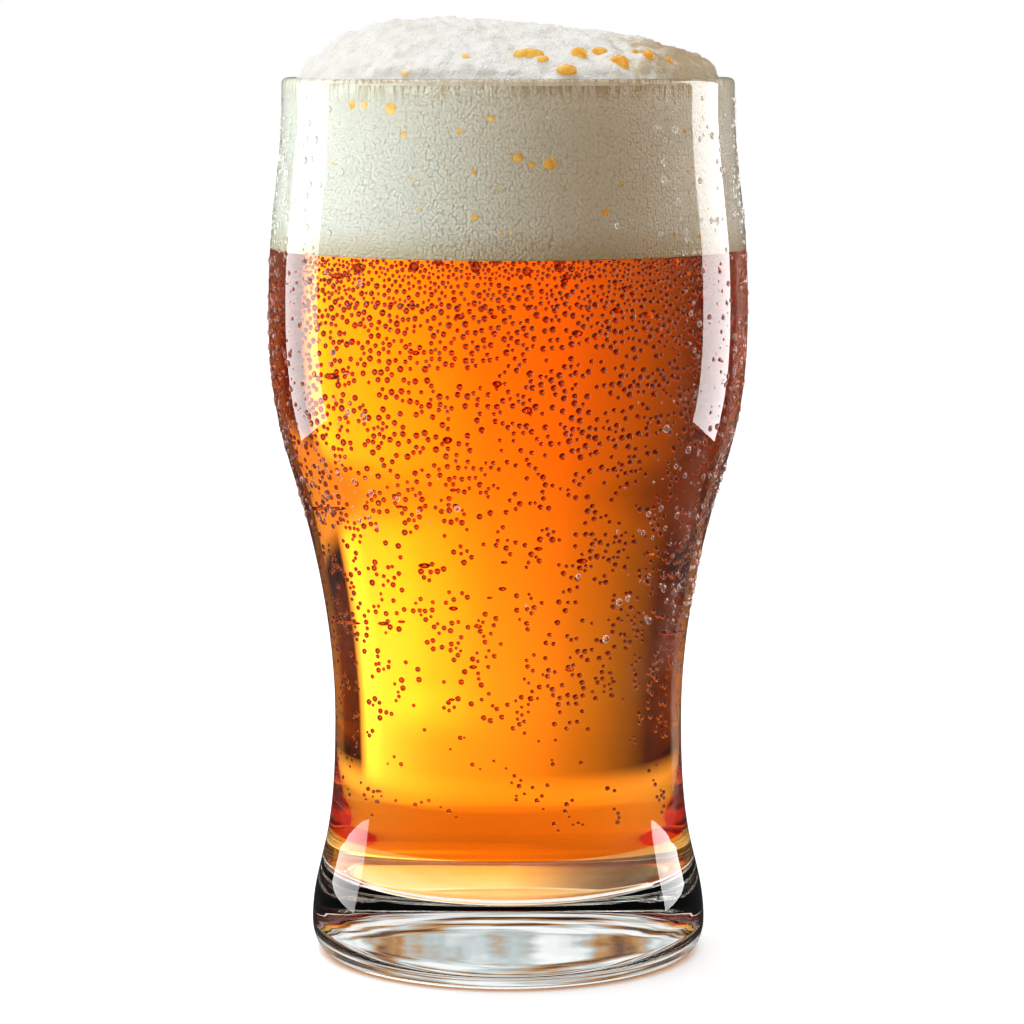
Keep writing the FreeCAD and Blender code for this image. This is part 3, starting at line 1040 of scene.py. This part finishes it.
def with_streaks(tree, azimuth, elevation, path, room):
    """The room with streaks drawn over it, for what is seen through the foot alone."""
    level_lines = add_node(tree, "ShaderNodeCombineXYZ", {"X": azimuth, "Y": elevation})
    level_lines = add_node(tree, "ShaderNodeMapping", {"Vector": level_lines.outputs["Vector"],
                                                       "Scale": STREAK_TURNS})
    streaks = add_node(tree, "ShaderNodeTexNoise", {"Vector": level_lines.outputs["Vector"], "Scale": 1.0,
                                                    "Detail": 5.0})
    streaks = add_node(tree, "ShaderNodeValToRGB", {"Fac": streaks.outputs["Fac"]}, STREAK_COLOURS)
    centred = add_node(tree, "ShaderNodeMath", {0: elevation, 1: math.radians(-CLEAR_MIDDLE)},
                       operation="ADD")
    away = add_node(tree, "ShaderNodeMath", {0: centred.outputs["Value"]}, operation="ABSOLUTE")
    outside = add_node(tree, "ShaderNodeMapRange", {
        "Value": away.outputs["Value"], "From Min": math.radians(CLEAR_WIDTH[0]),
        "From Max": math.radians(CLEAR_WIDTH[1])})
    foot_only = add_node(tree, "ShaderNodeMath", {0: path.outputs["Transmission Depth"], 1: FOOT_CROSSINGS},
                         operation="LESS_THAN")
    shown = add_node(tree, "ShaderNodeMath", {0: outside.outputs["Result"], 1: foot_only.outputs["Value"]},
                     operation="MULTIPLY")
    return add_node(tree, "ShaderNodeMix", {"Factor": shown.outputs["Value"], 6: room,
                                            7: streaks.outputs["Color"]}, data_type="RGBA").outputs[2]


print("streak colours:", len(STREAK_COLOURS))

# %% [markdown]
# ### One room for each kind of ray
# A real room is the same for every ray, but a studio is arranged until each surface shows what it should.
# The Light Path node does that here: the eye sees white, mirrored rays see near darkness, so that only the
# soft boxes leave reflections, rays through glass and beer see the room above, and matte things such as
# foam are lit from the upper left. Foam behind the wall gets a warm low light, for its depth is lit by beer.

# %% The room
ONCE = 0.5                      # between no bounce of a kind and one
SKY_FROM = Vector((-0.55, 0.25, 0.8)).normalized()
SKY_LIGHT = (0.32, 1.18)        # away from it, and towards it
WARM_FILL = (0.50, 0.31, 0.135, 1)
MIRRORED_ROOM = (0.04, 0.04, 0.04, 1)
WHITE = (1, 1, 1, 1)


def bounced(tree, path, kind):
    """1 for a ray that has already met a surface of this kind, and 0 for others."""
    return add_node(tree, "ShaderNodeMath", {0: path.outputs[kind], 1: ONCE},
                    operation="GREATER_THAN").outputs["Value"]


def light_on_matte_things(tree, direction, path):
    """Light from the upper left, and a warm low light for what stands behind glass."""
    toward = add_node(tree, "ShaderNodeVectorMath", {0: direction, 1: SKY_FROM}, operation="DOT_PRODUCT")
    sky = add_node(tree, "ShaderNodeMapRange", {"Value": toward.outputs["Value"], "To Min": SKY_LIGHT[0],
                                                "To Max": SKY_LIGHT[1]})
    return add_node(tree, "ShaderNodeMix", {
        "Factor": bounced(tree, path, "Transmission Depth"), 6: sky.outputs["Result"], 7: WARM_FILL},
        data_type="RGBA").outputs[2]


def studio_world():
    world = bpy.data.worlds.new("studio_room")
    bpy.context.scene.world = world
    world.use_nodes = True
    tree = world.node_tree
    tree.nodes.clear()
    direction = add_node(tree, "ShaderNodeTexCoord").outputs["Generated"]
    parts = add_node(tree, "ShaderNodeSeparateXYZ", {"Vector": direction})
    azimuth = add_node(tree, "ShaderNodeMath", {0: parts.outputs["X"], 1: parts.outputs["Y"]},
                       operation="ARCTAN2").outputs["Value"]
    elevation = add_node(tree, "ShaderNodeMath", {0: parts.outputs["Z"]},
                         operation="ARCSINE").outputs["Value"]
    path = add_node(tree, "ShaderNodeLightPath")
    room = light_from_behind(tree, azimuth, elevation)
    room = with_table(tree, azimuth, elevation, room)
    room = with_streaks(tree, azimuth, elevation, path, room)
    seen = add_node(tree, "ShaderNodeMix", {"Factor": path.outputs["Is Transmission Ray"],
                                            6: MIRRORED_ROOM, 7: room}, data_type="RGBA")
    colour = add_node(tree, "ShaderNodeMix", {
        "Factor": bounced(tree, path, "Diffuse Depth"), 6: seen.outputs[2],
        7: light_on_matte_things(tree, direction, path)}, data_type="RGBA")
    final = add_node(tree, "ShaderNodeMix", {"Factor": path.outputs["Is Camera Ray"], 6: colour.outputs[2],
                                             7: WHITE}, data_type="RGBA")
    background = add_node(tree, "ShaderNodeBackground", {"Color": final.outputs[2], "Strength": 1.0})
    add_node(tree, "ShaderNodeOutputWorld", {"Surface": background.outputs["Background"]})
    world.cycles.sampling_method = "NONE"
    return world


studio = studio_world()
print("world nodes:", len(studio.node_tree.nodes))

# %% [markdown]
# ### Soft boxes and lamps
# Two tall soft boxes leave the long white reflections on the shoulders of the glass. Two wide key panels
# light only what is inside it, such as the foam behind the wall. They are panels and not lamps, because
# a panel's own nodes can choose which rays see it, and one small lamp above rounds off the crown.

# %% Light of a panel
def unseen_glow(name, strength, mirrored, hue):
    """A panel's light. Mirrored, it is seen in reflections; if not, it only lights what is in the glass."""
    material, tree, output = new_material(name)
    path = add_node(tree, "ShaderNodeLightPath")
    lights = bounced(tree, path, "Diffuse Depth")
    if mirrored:
        hidden = add_node(tree, "ShaderNodeMath", {0: path.outputs["Is Transmission Ray"], 1: lights},
                          operation="SUBTRACT", use_clamp=True)
    else:
        shown = add_node(tree, "ShaderNodeMath", {0: lights, 1: bounced(tree, path, "Transmission Depth")},
                         operation="MULTIPLY")
        hidden = add_node(tree, "ShaderNodeMath", {0: 1.0, 1: shown.outputs["Value"]}, operation="SUBTRACT")
    glow = add_node(tree, "ShaderNodeEmission", {"Color": linear(hue), "Strength": strength})
    clear = add_node(tree, "ShaderNodeBsdfTransparent")
    either = add_node(tree, "ShaderNodeMixShader", {0: hidden.outputs["Value"], 1: glow.outputs["Emission"],
                                                    2: clear.outputs["BSDF"]})
    tree.links.new(either.outputs["Shader"], output.inputs["Surface"])
    return material


# %% [markdown]
# ### Setting them up
# Each panel is a square of cloth, stretched to its size and turned to face the glass, and only its numbers
# differ, so one loop hangs them all.

# %% Hang the panels and the lamp
SOFT_BOXES = [          # (name, azimuth, distance, width, height, bottom, strength, mirrored, hue)
    ("soft_box_left", -68.5, 330 * MM, 173 * MM, 400 * MM, 2 * MM, 4.6, True, "ffffff"),
    ("soft_box_right", 67, 330 * MM, 150 * MM, 400 * MM, 2 * MM, 6.5, True, "ffffff"),
    ("key_left", -104, 600 * MM, 500 * MM, 500 * MM, 100 * MM, 12.8, False, "e3f8ff"),
    ("key_right", 66, 600 * MM, 500 * MM, 500 * MM, 100 * MM, 7.0, False, "f2f9ff"),
]
TOP_LIGHT = {"place": (-0.1, 0.05, 0.75), "width": 0.5, "watts": 1.6}   # metres

for name, azimuth, distance, width, height, bottom, strength, mirrored, hue in SOFT_BOXES:
    turn = math.radians(azimuth)
    centre = (distance * math.sin(turn), distance * math.cos(turn), bottom + height / 2)
    bpy.ops.object.select_all(action="DESELECT")
    bpy.ops.mesh.primitive_plane_add(size=1, location=centre, rotation=(math.radians(90), 0, -turn))
    panel = bpy.context.object
    panel.name = name
    panel.scale = (width, height, 1)
    bpy.ops.object.transform_apply(location=False, rotation=False, scale=True)
    panel.data.materials.append(unseen_glow(name + "_cloth", strength, mirrored, hue))
    panel.visible_camera = False
    panel.visible_diffuse = not mirrored
    print(name, "at", azimuth, "degrees")

bpy.ops.object.select_all(action="DESELECT")
bpy.ops.object.light_add(type="AREA", location=TOP_LIGHT["place"])
top_light = bpy.context.object
top_light.name = top_light.data.name = "top_light"
top_light.data.size = TOP_LIGHT["width"]
top_light.data.energy = TOP_LIGHT["watts"]
top_light.visible_transmission = False

# %% [markdown]
# ### Picture settings
# A ray to the room behind the beer crosses glass, beer and a good many bubbles, and each surface takes one
# bounce, so the limits are high for what passes through and low for the rest. The Standard view leaves
# white as white.

# %% Picture settings
view = bpy.context.scene.view_settings
view.view_transform = "Standard"
view.look = "None"
cycles = bpy.context.scene.cycles
cycles.max_bounces = 24
cycles.transmission_bounces = 24
cycles.glossy_bounces = 8
cycles.diffuse_bounces = 3
cycles.transparent_max_bounces = 16
print("bounces:", cycles.max_bounces)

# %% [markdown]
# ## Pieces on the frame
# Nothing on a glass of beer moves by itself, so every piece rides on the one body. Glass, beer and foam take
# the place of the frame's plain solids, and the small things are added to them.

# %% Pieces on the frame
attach(glass, "root")
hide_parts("glass")
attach(beer, "root")
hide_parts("beer")
for piece in (foam, crown):
    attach(piece, "root")
    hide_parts("foam")
SMALL_THINGS = [(bubble_groups[0], "beer"), (bubble_groups[1], "beer"), (drops, "glass"), (discs, "foam"),
                (blisters, "foam")]
for piece, slot in SMALL_THINGS:
    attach(piece, "root")
